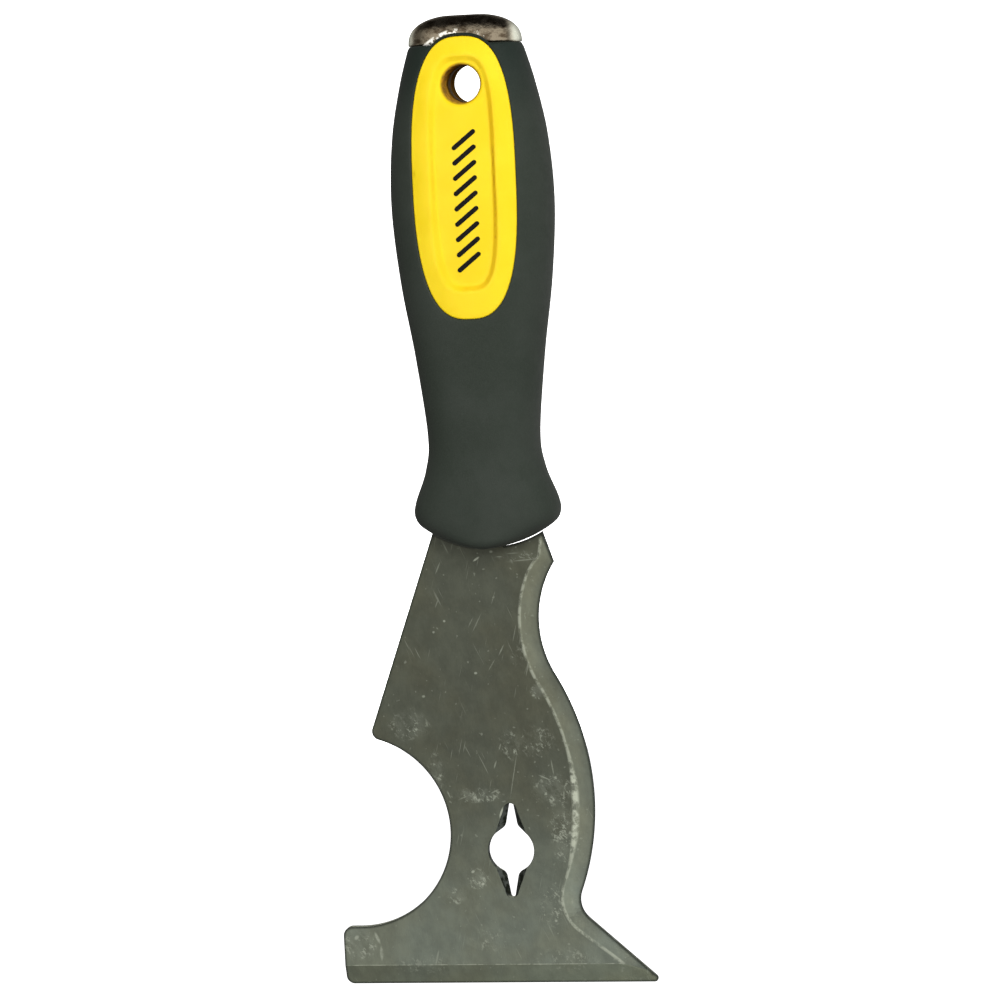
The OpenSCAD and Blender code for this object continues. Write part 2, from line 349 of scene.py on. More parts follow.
class Nodes:
    """A node tree filled by short calls. Sockets and plain values mix freely."""

    def __init__(self, owner):
        owner.use_nodes = True
        self.tree = owner.node_tree
        self.tree.nodes.clear()

    def add(self, kind, inputs=(), **settings):
        node = self.tree.nodes.new(kind)
        for key, value in settings.items():
            setattr(node, key, value)
        for key, value in dict(inputs).items():
            self.set(node.inputs[key], value)
        return node

    def set(self, socket, value):
        if isinstance(value, bpy.types.NodeSocket):
            self.tree.links.new(value, socket)
        else:
            socket.default_value = value

    def math(self, operation, a, b=0.0, clamp=False):
        node = self.add("ShaderNodeMath", {0: a, 1: b}, operation=operation, use_clamp=clamp)
        return node.outputs[0]

    def product(self, first, *others):
        for other in others:
            first = self.math("MULTIPLY", first, other)
        return first

    def vector(self, operation, a, b=(0, 0, 0), scale=1.0):
        node = self.add("ShaderNodeVectorMath", {0: a, 1: b}, operation=operation)
        if operation == "SCALE":
            node.inputs["Scale"].default_value = scale
        return node.outputs["Value" if operation == "LENGTH" else 0]

    def split(self, v):
        node = self.add("ShaderNodeSeparateXYZ", {0: v})
        return node.outputs[0], node.outputs[1], node.outputs[2]

    def ramp(self, value, low, high, to_low=0.0, to_high=1.0, soft=True):
        """Value from low..high to to_low..to_high, held at the ends."""
        kind = "SMOOTHSTEP" if soft else "LINEAR"
        node = self.add("ShaderNodeMapRange", {"Value": value, "From Min": low, "From Max": high,
                                               "To Min": to_low, "To Max": to_high},
                        interpolation_type=kind, clamp=True)
        return node.outputs[0]

    def mix(self, factor, a, b, blend="MIX"):
        node = self.add("ShaderNodeMix", data_type="RGBA", blend_type=blend)
        for key, value in ((0, factor), (6, a), (7, b)):
            if not isinstance(value, bpy.types.NodeSocket) and key > 5:
                value = (*value, 1.0)[:4]
            self.set(node.inputs[key], value)
        return node.outputs[2]

    def tinted(self, colour, by):
        return self.mix(1.0, colour, by, "MULTIPLY")


class Shader(Nodes):
    """The nodes of a material, with places in millimetres of the row frame."""

    def __init__(self, name):
        self.material = bpy.data.materials.new(name)
        super().__init__(self.material)
        place = self.add("ShaderNodeTexCoord")
        self.mm = self.vector("SCALE", place.outputs["Object"], scale=1 / MM)
        self.x, self.y, self.z = self.split(self.mm)

    def turned(self, degrees=0.0, stretch=(1, 1, 1), shift=(0, 0, 0)):
        """Coordinates in mm, turned about Y, then stretched."""
        node = self.add("ShaderNodeVectorRotate",
                        {"Vector": self.mm, "Angle": math.radians(degrees)},
                        rotation_type="Y_AXIS")
        moved = self.vector("ADD", node.outputs[0], shift)
        return self.vector("MULTIPLY", moved, stretch)

    def noise(self, scale, detail=3.0, rough=0.5, at=None, distortion=0.0):
        node = self.add("ShaderNodeTexNoise", {"Vector": at or self.mm, "Scale": scale,
                                               "Detail": detail, "Roughness": rough,
                                               "Distortion": distortion})
        return node.outputs["Fac"]

    def fac(self, attribute_name):
        """Values kept with the mesh's points."""
        node = self.add("ShaderNodeAttribute", attribute_name=attribute_name)
        return node.outputs["Fac"]

    def bump(self, height, distance_mm, strength):
        inputs = {"Height": height, "Distance": distance_mm * MM, "Strength": strength}
        return self.add("ShaderNodeBump", inputs).outputs[0]

    def finish(self, **inputs):
        named = {k.replace("_", " "): v for k, v in inputs.items()}
        surface = self.add("ShaderNodeBsdfPrincipled", named)
        self.add("ShaderNodeOutputMaterial", {"Surface": surface.outputs[0]})
        return self.material


# --------------------------------------------------------------- materials


def scratches(s, degrees, length, width, share, seed):
    """Thin broken lines at an angle from the Z axis: a mask from 0 to 1."""
    at = s.turned(degrees, (1 / width, 0.2, 1 / length), (seed, 0, seed * 1.7))
    lines = s.noise(1.0, 1.0, 0.4, at)
    return s.ramp(lines, 1 - share, 1 - share + 0.09)


# Scratches on the ground face, and one painted glint at the nail puller: X, Z, half length, half
# width, degrees from X, strength
strokes = [
    (-3.1, -107.2, 1.1, 0.32, 34, 1.4), (-12.1, -109.0, 1.9, 0.2, 66, 0.55),
    (8.0, -107.7, 3.5, 0.2, 4, 0.5), (2.2, -106.8, 1.0, 0.2, -4, 0.6),
    (5.3, -106.1, 1.8, 0.18, 2, 0.45),
    (0.4, -116.1, 1.9, 0.16, 72, 0.4), (-3.7, -121.8, 3.0, 0.18, 62, 0.4),
    (-5.1, -121.6, 1.7, 0.16, 61, 0.35), (1.7, -128.1, 1.7, 0.22, 62, 0.6),
    (-0.7, -131.5, 1.8, 0.18, 58, 0.45), (-12.7, -117.0, 1.5, 0.18, 67, 0.4),
    (0.3, -150.3, 1.0, 0.22, 71, 0.7), (-1.0, -154.4, 1.2, 0.24, 70, 0.7),
    (3.1, -157.1, 6.6, 0.16, 79, 0.5), (12.2, -155.3, 2.4, 0.2, -82, 0.6),
    (10.3, -157.6, 1.9, 0.22, -24, 0.8), (-30.6, -194.3, 1.9, 0.5, -67, 1.0),
    (-29.8, -197.9, 2.2, 0.5, -89, 0.8), (-8.9, -162.0, 1.4, 0.2, 20, 0.5),
    (-1.4, -160.6, 1.4, 0.2, 25, 0.6), (-12.1, -161.2, 1.2, 0.22, -66, 0.7),
    (-11.2, -121.2, 0.4, 0.36, 0, 1.0), (-13.8, -123.7, 0.4, 0.36, 0, 0.8),
    (-4.5, -133.3, 0.5, 0.38, 0, 1.0), (-16.9, -138.4, 0.5, 0.38, 0, 0.8),
    (0.4, -105.6, 0.5, 0.38, 0, 0.8), (8.6, -138.7, 0.5, 0.38, 0, 0.9),
    (-5.2, -182.0, 0.55, 0.42, 20, 1.5), (11.4, -190.7, 0.45, 0.38, 0, 1.0),
    # The first of the next two is no scratch but a painted glint on the upper left edge of the
    # nail puller's mouth
    (-0.15, -165.5, 1.6, 0.3, 70, 1.8), (-7.4, -179.1, 0.6, 0.4, 30, 1.2),
    (-35.5, -194.2, 0.9, 0.6, 40, 1.0),
]

# Worn patches of the ground face: X, Z, half width, half height, strength
patches = [
    (-20.6, -144.9, 4.7, 3.6, 0.6), (-5.1, -161.4, 5.6, 1.6, 0.9), (12.1, -160.5, 4.4, 3.6, 0.75),
    (13.7, -170.4, 2.6, 6.5, 0.75), (-14.9, -156.6, 1.8, 5.4, 0.6), (-6.5, -180.8, 2.6, 2.2, 1.0),
    (-11.4, -184.7, 2.2, 2.0, 0.8), (10.4, -187.3, 2.9, 4.8, 0.65), (2.7, -150.0, 2.8, 3.6, 0.5),
    (5.2, -129.7, 1.9, 2.8, 0.45), (9.8, -137.9, 1.7, 1.8, 0.9), (-34.8, -195.6, 3.6, 3.8, 1.2),
    (-4.4, -195.0, 5.0, 3.0, 0.4), (7.0, -106.8, 5.5, 1.8, 0.35), (14.0, -200.0, 8.0, 3.0, 0.4),
    (-20.0, -201.0, 9.0, 2.5, 0.35), (8.5, -149.0, 5.0, 4.0, 0.4),
]


def steel_material():
    s = Shader("ground steel")
    ridge, rim, patch = s.fac("ridge"), s.fac("rim"), s.fac("patch")
    facing = s.split(s.add("ShaderNodeNewGeometry").outputs["True Normal"])
    cut = s.ramp(s.math("ABSOLUTE", facing[1]), 0.86, 0.76)
    bevel = s.ramp(facing[0], 0.06, 0.14)
    slope = s.product(bevel, s.ramp(facing[2], 0.08, 0.16))
    low = s.ramp(facing[2], -0.2, -0.3)

    # Tone: brighter towards the scraping edge, in cloudy patches of olive and of blue grey
    cloud = s.noise(0.075, 4.0, 0.55)
    blotch = s.noise(0.3, 4.0, 0.65, s.turned(20, (1, 1, 0.7)))
    grain = s.noise(1.0, 3.0, 0.6, s.turned(4, (3.2, 1, 0.5)))
    speck = s.noise(2.2, 3.0, 0.65)
    base = s.mix(s.ramp(s.z, -200, -150), (0.150, 0.165, 0.131), (0.079, 0.083, 0.061))
    hue = s.mix(s.ramp(cloud, 0.36, 0.62), (1.01, 1.0, 0.97), (0.98, 1.01, 1.04))
    base = s.tinted(base, hue)
    tint = s.mix(s.ramp(blotch, 0.3, 0.72), (0.92, 0.92, 0.92), (1.16, 1.16, 1.15))
    base = s.tinted(base, tint)
    # Painted light and shade on the bevels by the way each faces: lighter nearer the ridges,
    # darker higher up the blade, darker where a bevel faces up, and the scraping bevel lighter
    # towards the right
    across = s.ramp(ridge, 1.2, 4.0)
    bevel_painted_light = s.mix(across, (2.1, 2.1, 2.12), (1.6, 1.64, 1.74))
    bevel_painted_light = s.mix(s.ramp(s.z, -130, -190), bevel_painted_light, s.tinted(bevel_painted_light, (0.78, 0.78, 0.78)))
    base = s.mix(bevel, base, s.tinted(base, bevel_painted_light))
    base = s.mix(slope, base, s.tinted(base, (0.66, 0.66, 0.66)))
    along = s.mix(s.ramp(s.x, -35, 25), (0.86, 0.86, 0.82), (1.18, 1.18, 1.1))
    base = s.mix(low, base, s.tinted(base, along))

    # Wear: flakes where a patch is worn, specks, thin random scratches, and drawn ones, one of
    # which is a painted glint at the nail puller. The drawn ones stay out of the relief: a bump
    # node repeats all that it reads, and with them the shader would be too big to bake
    smear = s.noise(1.5, 5.0, 0.75, s.turned(35, (1, 1, 0.6)), 0.3)
    clump = s.ramp(s.noise(0.4, 3.0, 0.6), 0.42, 0.58, 0.12, 1.0)
    worn = s.product(s.ramp(smear, 0.52, 0.585), clump, s.ramp(patch, 0.02, 0.6))
    worn = s.math("MAXIMUM", worn, s.ramp(s.noise(0.9, 1.0, 0.5), 0.70, 0.77, 0.0, 0.4))
    few = s.ramp(s.noise(0.06, 2.0, 0.5, s.turned(shift=(31, 0, 5))), 0.45, 0.6)
    fine = s.math("MAXIMUM", scratches(s, 24, 9, 0.45, 0.31, 3),
                  scratches(s, -14, 7, 0.4, 0.31, 11))
    worn = s.math("MAXIMUM", worn, s.product(fine, few, 0.45))
    relief = worn
    broken = s.ramp(s.noise(1.1, 2.0, 0.6), 0.25, 0.5, 0.35, 1.0)
    drawn = 0.0
    for x, z, length, width, degrees, strength in strokes:
        at = s.add("ShaderNodeMapping", {"Vector": s.mm, "Location": (x, 0, z),
                                         "Rotation": (0, -math.radians(degrees), 0),
                                         "Scale": (length, 1000, width)}, vector_type="TEXTURE")
        mask = s.ramp(s.vector("LENGTH", at.outputs[0]), 1.0, 0.35, 0.0, strength)
        drawn = s.math("MAXIMUM", drawn, mask)
    front = s.ramp(facing[1], -0.7, -0.9)
    worn = s.math("MAXIMUM", worn, s.product(drawn, broken, front))
    haze = s.product(s.ramp(patch, 0.0, 1.0, 0.0, 0.3), s.ramp(blotch, 0.35, 0.65))
    colour = s.mix(haze, base, (0.22, 0.24, 0.20))
    colour = s.mix(s.math("MULTIPLY", worn, 0.7, clamp=True), colour, (0.36, 0.385, 0.315))

    # Painted glint along the ridges, on metal partly worn bright there, wide and patchy on the
    # belly
    belly = s.ramp(s.math("ABSOLUTE", s.math("ADD", s.z, 165.0)), 15, 4)
    reach = s.ramp(belly, 0.0, 1.0, 0.5, 1.1, soft=False)
    near = s.ramp(s.math("DIVIDE", ridge, reach), 1.0, 0.25)
    gaps = s.ramp(s.noise(0.45, 4.0, 0.75), 0.40, 0.58, 0.15, 1.0)
    glint = s.product(near, gaps, s.ramp(belly, 0.0, 1.0, 0.5, 1.0))
    colour = s.mix(glint, colour, (0.50, 0.53, 0.43))

    # Painted shade: a dark outline along the rolled edges and dark, mottled walls on the cut
    # faces, with painted light where they face up; the tang, where it shows in the hanging hole,
    # painted dark brown as shade
    colour = s.mix(s.ramp(rim, 0.7, 0.1, 0.0, 0.85), colour, (0.025, 0.030, 0.024))
    scale = s.ramp(s.noise(0.8, 3.0, 0.6), 0.42, 0.6)
    walls = s.mix(scale, (0.010, 0.013, 0.008), (0.085, 0.095, 0.085))
    walls = s.mix(s.ramp(facing[2], 0.6, 0.9), walls, (0.30, 0.32, 0.25))
    colour = s.mix(cut, colour, walls)
    colour = s.mix(s.ramp(s.z, -62, -60), colour, (0.09, 0.055, 0.022))
    rough = s.ramp(grain, 0.3, 0.7, 0.46, 0.6)
    height = s.math("ADD", s.product(grain, 0.5), s.product(speck, 0.35))
    height = s.math("SUBTRACT", height, s.product(relief, 0.35))
    return s.finish(Base_Color=colour, Metallic=0.45, Roughness=rough, Specular_IOR_Level=0.35,
                    Normal=s.bump(height, 0.03, 0.7))


def rubber_material():
    s = Shader("soft grip")
    blotch = s.noise(0.06, 3.0, 0.5)
    grain = s.noise(4.5, 2.0, 0.55)
    colour = s.mix(s.ramp(blotch, 0.35, 0.65), (0.020, 0.026, 0.020), (0.026, 0.032, 0.026))
    colour = s.mix(s.ramp(grain, 0.4, 0.75, 0, 0.35), colour, (0.036, 0.044, 0.036))
    # Painted shade: the grip darker towards its top
    colour = s.mix(s.ramp(s.z, -12, 8), colour, s.tinted(colour, (0.45, 0.55, 0.55)))
    rough = s.ramp(s.noise(0.5, 3.0, 0.6), 0.3, 0.7, 0.52, 0.64)
    return s.finish(Base_Color=colour, Roughness=rough, Specular_IOR_Level=0.3,
                    Sheen_Weight=0.04, Sheen_Roughness=0.5,
                    Normal=s.bump(grain, 0.05, 0.35))


def core_material():
    s = Shader("moulded core")
    radial = s.vector("LENGTH", s.vector("MULTIPLY", s.mm, (1, 0, 1)))
    wall = s.fac("wall")
    tone = s.noise(0.09, 3.0, 0.5)
    colour = s.mix(s.ramp(tone, 0.35, 0.65), (0.72, 0.525, 0.008), (0.76, 0.56, 0.014))
    # Painted shade in the sunk panel's wall, stronger on the right and towards the bottom
    recess_shade_side = s.product(s.ramp(s.x, -4.0, 4.0, 0.3, 0.85), s.ramp(s.z, 3, -8, 0.3, 1.0))
    colour = s.mix(s.product(wall, recess_shade_side), colour, (0.56, 0.28, 0.005))
    # Painted shade on the wall of the hanging hole: orange brown, mottled, and darker towards the
    # back
    deep = s.ramp(radial, hole_r + 0.7, hole_r + 0.05)
    hole_painted_shade = s.mix(s.ramp(s.noise(0.9, 2.0, 0.6), 0.4, 0.6), (0.42, 0.21, 0.02), (0.24, 0.13, 0.02))
    hole_painted_shade = s.mix(s.ramp(s.y, -2.0, 3.0), hole_painted_shade, (0.15, 0.075, 0.014))
    colour = s.mix(deep, colour, hole_painted_shade)
    grain = s.noise(3.0, 3.0, 0.6)
    rough = s.ramp(s.noise(0.7, 2.0, 0.5), 0.3, 0.7, 0.36, 0.46)
    rough = s.math("ADD", rough, s.product(deep, 0.5))
    return s.finish(Base_Color=colour, Roughness=rough,
                    Specular_IOR_Level=s.ramp(deep, 0.0, 0.5, 0.22, 0.0),
                    Subsurface_Weight=0.08, Subsurface_Radius=(1.0, 0.5, 0.1),
                    Subsurface_Scale=0.8 * MM, Normal=s.bump(grain, 0.03, 0.3))


def ink_material():
    s = Shader("dark marks")
    tone = s.noise(2.0, 2.0, 0.5)
    colour = s.mix(tone, (0.003, 0.003, 0.004), (0.008, 0.008, 0.010))
    return s.finish(Base_Color=colour, Roughness=0.6, Specular_IOR_Level=0.15,
                    Normal=s.bump(tone, 0.02, 0.3))


def chrome_material():
    s = Shader("plated cap")
    cloud = s.noise(0.5, 4.0, 0.65, s.turned(0, (1, 1, 1.6)))
    pits = s.noise(1.8, 3.0, 0.65)
    # Painted reflection: the ends of the cap, which face sideways, pale and less metallic
    sideways = s.split(s.add("ShaderNodeNewGeometry").outputs["Normal"])[0]
    ends = s.ramp(s.math("ABSOLUTE", sideways), 0.38, 0.85)
    colour = s.mix(s.ramp(cloud, 0.38, 0.62), (0.58, 0.49, 0.37), (0.20, 0.15, 0.10))
    # Painted highlight: bright spots just above the grip's arch, more of them on the left
    arch = s.math("ADD", s.z, s.product(s.x, s.x, 0.045))
    spots = s.math("ADD", s.noise(0.6, 3.0, 0.65), s.ramp(s.x, -3, 0, 0.12, -0.05))
    painted_highlight = s.product(s.ramp(spots, 0.5, 0.6), s.ramp(arch, 12.6, 12.1))
    pale = s.math("MAXIMUM", ends, painted_highlight)
    colour = s.mix(pale, colour, s.mix(painted_highlight, (0.70, 0.71, 0.60), (0.95, 0.92, 0.85)))
    rough = s.ramp(pits, 0.35, 0.7, 0.14, 0.3)
    height = s.math("ADD", s.product(cloud, 0.8), s.product(pits, 0.2))
    return s.finish(Base_Color=colour, Metallic=s.ramp(pale, 0.0, 1.0, 1.0, 0.3), Roughness=rough,
                    Normal=s.bump(height, 0.3, 0.4))


def pin_material():
    s = Shader("drawn pins")
    grain = s.noise(1.0, 2.0, 0.5, s.turned(0, (4, 0.4, 4)))
    colour = s.mix(grain, (0.45, 0.45, 0.43), (0.62, 0.62, 0.6))
    return s.finish(Base_Color=colour, Metallic=1.0, Roughness=s.ramp(grain, 0.3, 0.7, 0.25, 0.4),
                    Normal=s.bump(grain, 0.01, 0.4))


# -------------------------------------------------------------------- blade


def side_edge():
    """The ground side from the shoulder to the tip, with the bevel's width along it."""
    belly_c = hollow_c + (hollow_r + belly_r) * polar(hollow_end)
    tip = np.array([tip_x, edge_z])
    root_c = touching_centre(tip, polar(tip_slope), polar(tip_slope + 90), root_r,
                             belly_c, belly_r, 1)
    belly_end = angle_to(belly_c, root_c)

    # Each part with the bevel's width at its start and end, as shares of bevel_w, and how fast
    # the width changes: at 6, within the first sixth of the part
    parts = [
        (line(shoulder_right, spur), 0.02, 0.85, 1),
        (arc(hollow_c, hollow_r, angle_to(hollow_c, spur), hollow_end), 0.85, 1.0, 6),
        (arc(belly_c, belly_r, hollow_end - 180, belly_end), 1.0, 1.0, 1),
        (arc(root_c, root_r, 180 + belly_end, tip_slope + 270), 1.0, 0.85, 1),
        (line(root_c + root_r * polar(tip_slope + 270), tip), 0.85, 0.45, 1),
    ]
    points, widths = [], []
    for curve, start, end, pace in parts:
        ease = np.minimum(1, np.linspace(0, 1, len(curve)) * pace)
        points.append(curve)
        widths.append(bevel_w * (start + (end - start) * ease))
    points, widths = np.vstack(points), np.concatenate(widths)
    keep = np.concatenate([[True], np.linalg.norm(np.diff(points, axis=0), axis=1) > 1e-4])
    return points[keep], widths[keep]


def blade_outline(edge):
    tip_reach = tip_r / math.tan(math.radians(-tip_slope / 2))
    tip_c = np.array([tip_x - tip_reach, edge_z + tip_r])
    wedge_c = touching_centre(shoulder_left, polar(-90 - flank_tilt), polar(-flank_tilt), wedge_r,
                              notch_c, notch_r, -1)
    foot_top = notch_c[1] - notch_r
    shoulder_c = np.array([0, heel_z - shoulder_gap + shoulder_r])
    tang_w = tang_steps[0][1]
    tang_foot = shoulder_c[1] - math.sqrt(shoulder_r ** 2 - tang_w ** 2)
    left = [(-w, z) for z, w in tang_steps]
    right = [(w, z) for z, w in tang_steps[::-1]]
    tang = chain(*[line(a, b, 4) for a, b in zip([(-tang_w, tang_foot)] + left + right,
                                                left + right + [(tang_w, tang_foot)])])
    wedge_turn = angle_to(notch_c, wedge_c)
    ridge_z = edge_z + scraper_w
    foot = [foot_x + foot_low_r, edge_z + foot_low_r]
    return closed(
        arc(shoulder_c, shoulder_r, angle_to(shoulder_c, shoulder_left),
            angle_to(shoulder_c, (-tang_w, tang_foot))),
        tang,
        arc(shoulder_c, shoulder_r, angle_to(shoulder_c, (tang_w, tang_foot)),
            angle_to(shoulder_c, shoulder_right)),
        edge[np.linalg.norm(edge - edge[-1], axis=1) > tip_reach],
        arc(tip_c, tip_r, tip_slope + 90, -90, 0.15),
        line((tip_c[0], edge_z), (foot[0], edge_z)),
        arc(foot, foot_low_r, -90, -180, 0.3),
        line((foot_x, foot[1]), (foot_x, ridge_z)),
        line((foot_x, ridge_z), (foot_x, foot_top - foot_top_r)),
        arc([foot_x + foot_top_r, foot_top - foot_top_r], foot_top_r, 180, 90, 0.3),
        arc(notch_c, notch_r, -90, wedge_turn),
        arc(wedge_c, wedge_r, 180 + wedge_turn, 180 - flank_tilt, 0.3),
        line(wedge_c + wedge_r * polar(180 - flank_tilt), shoulder_left),
    )


def puller_loop(half, tip_radius, flare):
    """Outline of the nail puller: a circle with a slot above and below."""
    base, nose = np.array([half, 0.0]), np.array([0.0, vee_reach - tip_radius])
    along = nose + (tip_radius, 0) - base
    along = along / np.linalg.norm(along)
    out = np.array([along[1], -along[0]])
    centre = touching_centre(base, along, out, flare, np.zeros(2), puller_r, 1)
    bend = np.linspace(angle_to(centre, (0, 0)), angle_to(out, (0, 0)), 8)
    bend = np.array([centre + flare * polar(a) for a in bend])
    tip = np.array([nose + tip_radius * polar(a) for a in np.linspace(0, 90, 7)])
    quarter = np.vstack([bend, np.linspace(bend[-1], tip[0], 7)[1:-1], tip])
    slot = np.vstack([quarter, quarter[-2::-1] * (-1, 1)])
    meet = angle_to((0, 0), centre)
    cheek = np.array([puller_r * polar(a) for a in np.linspace(180 - meet, 180 + meet, 17)])[1:-1]
    loop = np.vstack([slot, cheek, -slot, -cheek])
    t = math.radians(puller_tilt)
    turn = np.array([[math.cos(t), math.sin(t)], [-math.sin(t), math.cos(t)]])
    return loop @ turn.T + puller_c


def make_blade(material):
    ridge_half, touching, front_depth = 0.22, 0.98, 1.3
    edge, widths = side_edge()
    outer = blade_outline(edge)
    front_y, back_y = -blade_t / 2, blade_t / 2

    def depths(p):
        near, place = nearest(p, edge)
        lengths = np.concatenate([[0], np.cumsum(np.linalg.norm(np.diff(edge, axis=0), axis=1))])
        w = np.interp(place * lengths[-1], lengths, widths)
        side = (blade_t - edge_land) * (w / bevel_w) * np.clip(1 - near / w, 0, 1)
        low = (blade_t - edge_land / 2) * np.clip(1 - (p[:, 1] - edge_z) / scraper_w, 0, 1)
        side[p[:, 1] > shoulder_right[1] + 1] = 0
        return side, low

    def face_y(p):
        side, low = depths(p)
        return front_y + np.maximum(side, low)

    # Ridges of the two bevels, up to where they meet, and the crease to the tip
    step = np.gradient(edge, axis=0)
    normal = np.stack([step[:, 1], -step[:, 0]], 1) / np.linalg.norm(step, axis=1)[:, None]
    ridge = edge + normal * widths[:, None]
    clear = nearest(ridge, edge)[0] > touching * widths
    ridge, normal = ridge[clear], normal[clear]
    low_ridge_z = edge_z + scraper_w
    stop = int(np.argmax(ridge[:, 1] < low_ridge_z))
    k = (ridge[stop - 1][1] - low_ridge_z) / (ridge[stop - 1][1] - ridge[stop][1])
    meet = ridge[stop - 1] + k * (ridge[stop] - ridge[stop - 1])
    ridge = np.vstack([ridge[1:stop], meet])
    crease = [meet]
    for z in np.linspace(low_ridge_z, edge_z + 0.5, 9)[1:]:
        x = np.linspace(meet[0] - 1, tip_x, 400)
        side, low = depths(np.stack([x, np.full(400, z)], 1))
        crease.append((x[int(np.argmax(side > low))], z))
    low_ridge = line((foot_x, low_ridge_z), meet)
    side_out = [ridge[:-1] + s * ridge_half * normal[1:stop] for s in (-1, 1)]
    low_out = [low_ridge[1:-1] + (0, s * ridge_half) for s in (-1, 1)]
    chains = [ridge, low_ridge, np.array(crease)] + [c[2:-1] for c in side_out] + low_out

    holes = [[puller_loop(*vee_mouth), puller_loop(*vee_throat)]]
    for z, r in tang_holes:
        ring = arc((0, z), r, 0, 360, 0.5)[:-1]
        holes.append([ring, ring])
    roll = np.radians(np.linspace(0, 90, 4))

    skin = Skin()
    low, high = outer.min(0), outer.max(0)
    grids = [((low[0], low[1]), (high[0], heel_z + 4), 1.05),
             ((-12, heel_z + 4), (12, high[1]), 3.0)]
    front_loops = [offset(outer, edge_roll)] + [offset(h[0], -edge_roll) for h in holes]
    back_loops = [offset(outer, edge_roll)] + [offset(h[1], -edge_roll) for h in holes]
    points, faces = fill(front_loops, chains, grids)
    skin.add(plane_to_space(points, face_y(points)), faces)
    points, faces = fill(back_loops, [], grids)
    skin.add(plane_to_space(points, back_y), faces)
    walls = [(outer, outer)] + [tuple(h) for h in holes]
    for (front, back), f_in, b_in in zip(walls, front_loops, back_loops):
        y = face_y(f_in)
        rings = []
        for a in roll:
            flat = front + (f_in - front) * (1 - math.sin(a))
            rings.append(plane_to_space(flat, y + edge_roll * (1 - math.cos(a))))
        if front is not back:
            rings.append(plane_to_space(back, back_y - vee_land))
        for a in roll[::-1]:
            flat = back + (b_in - back) * (1 - math.sin(a))
            rings.append(plane_to_space(flat, back_y - edge_roll * (1 - math.cos(a))))
        skin.strip(rings)
    piece = skin.build("blade_plate", material, "blade")
    weighted_normals(piece)

    at = piece_points(piece)
    flat = at[:, [0, 2]]
    side = nearest(flat, ridge)[0]
    bottom = nearest(flat, low_ridge)[0]
    rim = nearest(flat, np.vstack([outer, outer[:1]]))[0]
    on_front = at[:, 1] < front_y + front_depth
    far_off = 9
    attribute(piece, "ridge", np.where(on_front, np.minimum(side, bottom * 3), far_off))
    attribute(piece, "rim", rim)
    worn = np.zeros(len(at))
    reach, fade, back_wear = 1.35, 0.9, 0.25
    for x, z, half_x, half_z, strength in patches:
        away = np.hypot((flat[:, 0] - x) / half_x, (flat[:, 1] - z) / half_z)
        worn = np.maximum(worn, strength * smooth((reach - away) / fade))
    attribute(piece, "patch", np.where(on_front, worn, back_wear))


# --------------------------------------------------------------------- grip


def handle_profile():
    """Height, half width and half thickness down the handle, from above the shoulder: a smooth
    curve through the stations, then the corner and the arc of the heel."""
    steps = 14
    corner_x = flare_w / 2 - heel_corner_r
    heel_c = np.array([0, heel_z + heel_r])
    flare_z = heel_c[1] - math.sqrt((heel_r - heel_corner_r) ** 2 - corner_x ** 2)
    stations = np.array([
        [17, 10.6, 6.1],
        [13, 11.7, 6.8],
        [shoulder_z, 12.85, 7.4],
        [0, 15.3, 9.6],
        [-12, 17.6, belly_t / 2 - 0.4],
        [-27, belly_w / 2, belly_t / 2],
        [-44, belly_w / 2 - 1.3, belly_t / 2 - 0.4],
        [-61, neck_w / 2 + 1.9, belly_t / 2 - 1.7],
        [-79, neck_w / 2, flare_t / 2 - 0.7],
        [-87, neck_w / 2 + 1, flare_t / 2 - 0.5],
        [flare_z, flare_w / 2, flare_t / 2],
        [flare_z - 9, flare_w / 2 - 2.2, flare_t / 2],
    ])
    rows = []
    for i in range(1, len(stations) - 2):
        a, b, c, d = stations[i - 1:i + 3]
        for t in np.linspace(0, 1, steps, endpoint=False):
            bend = 2 * a - 5 * b + 4 * c - d + t * (3 * (b - c) + d - a)
            rows.append(b + t / 2 * (c - a + t * bend))
    turn = -math.degrees(math.atan2(heel_c[1] - flare_z, corner_x))
    corner = arc((corner_x, flare_z), heel_corner_r, 0, turn, 0.4)
    sweep = turn - (turn + 87.5) * np.linspace(0, 1, 40) ** 0.8
    heel = np.array([heel_c + heel_r * polar(a) for a in sweep])
    for x, z in chain(corner, heel):
        k = max(0, heel_z + heel_round - z) / heel_round
        rows.append([z, x, flare_t / 2 - heel_round * (1 - math.sqrt(max(0, 1 - k * k)))])
    return np.array(rows)


profile = handle_profile()
travel = np.concatenate([[0], np.cumsum(np.linalg.norm(np.diff(profile, axis=0), axis=1))])
upwards = np.argsort(profile[:, 0])
heights, half_widths, half_depths = profile[upwards].T
girth = 24.0


def section_at(z):
    """Half width and half thickness of the handle at a height."""
    return np.interp(z, heights, half_widths), np.interp(z, heights, half_depths)


def to_wrap(xz):
    """From a place in the front view to (round the handle, down the handle)."""
    a, _ = section_at(xz[:, 1])
    k = np.clip(np.abs(xz[:, 0]) / a, 0, 1) ** (section_power / 2)
    v = np.interp(xz[:, 1], heights, travel[upwards])
    return np.stack([np.sign(xz[:, 0]) * np.arcsin(k) / (math.pi / 2) * girth, v], 1)


def from_wrap(uv, side, inward=0.0):
    """A point of the handle's surface, or as far under it as inward says."""
    z = np.interp(uv[:, 1], travel, profile[:, 0])
    a = np.maximum(np.interp(uv[:, 1], travel, profile[:, 1]) - inward, 0.4)
    b = np.maximum(np.interp(uv[:, 1], travel, profile[:, 2]) - inward, 0.4)
    phi = np.clip(uv[:, 0] / girth, -1, 1) * math.pi / 2
    e = 2 / section_power
    x = a * np.sign(phi) * np.abs(np.sin(phi)) ** e
    y = side * b * np.abs(np.cos(phi)) ** e
    return np.stack([x, y, z], 1)


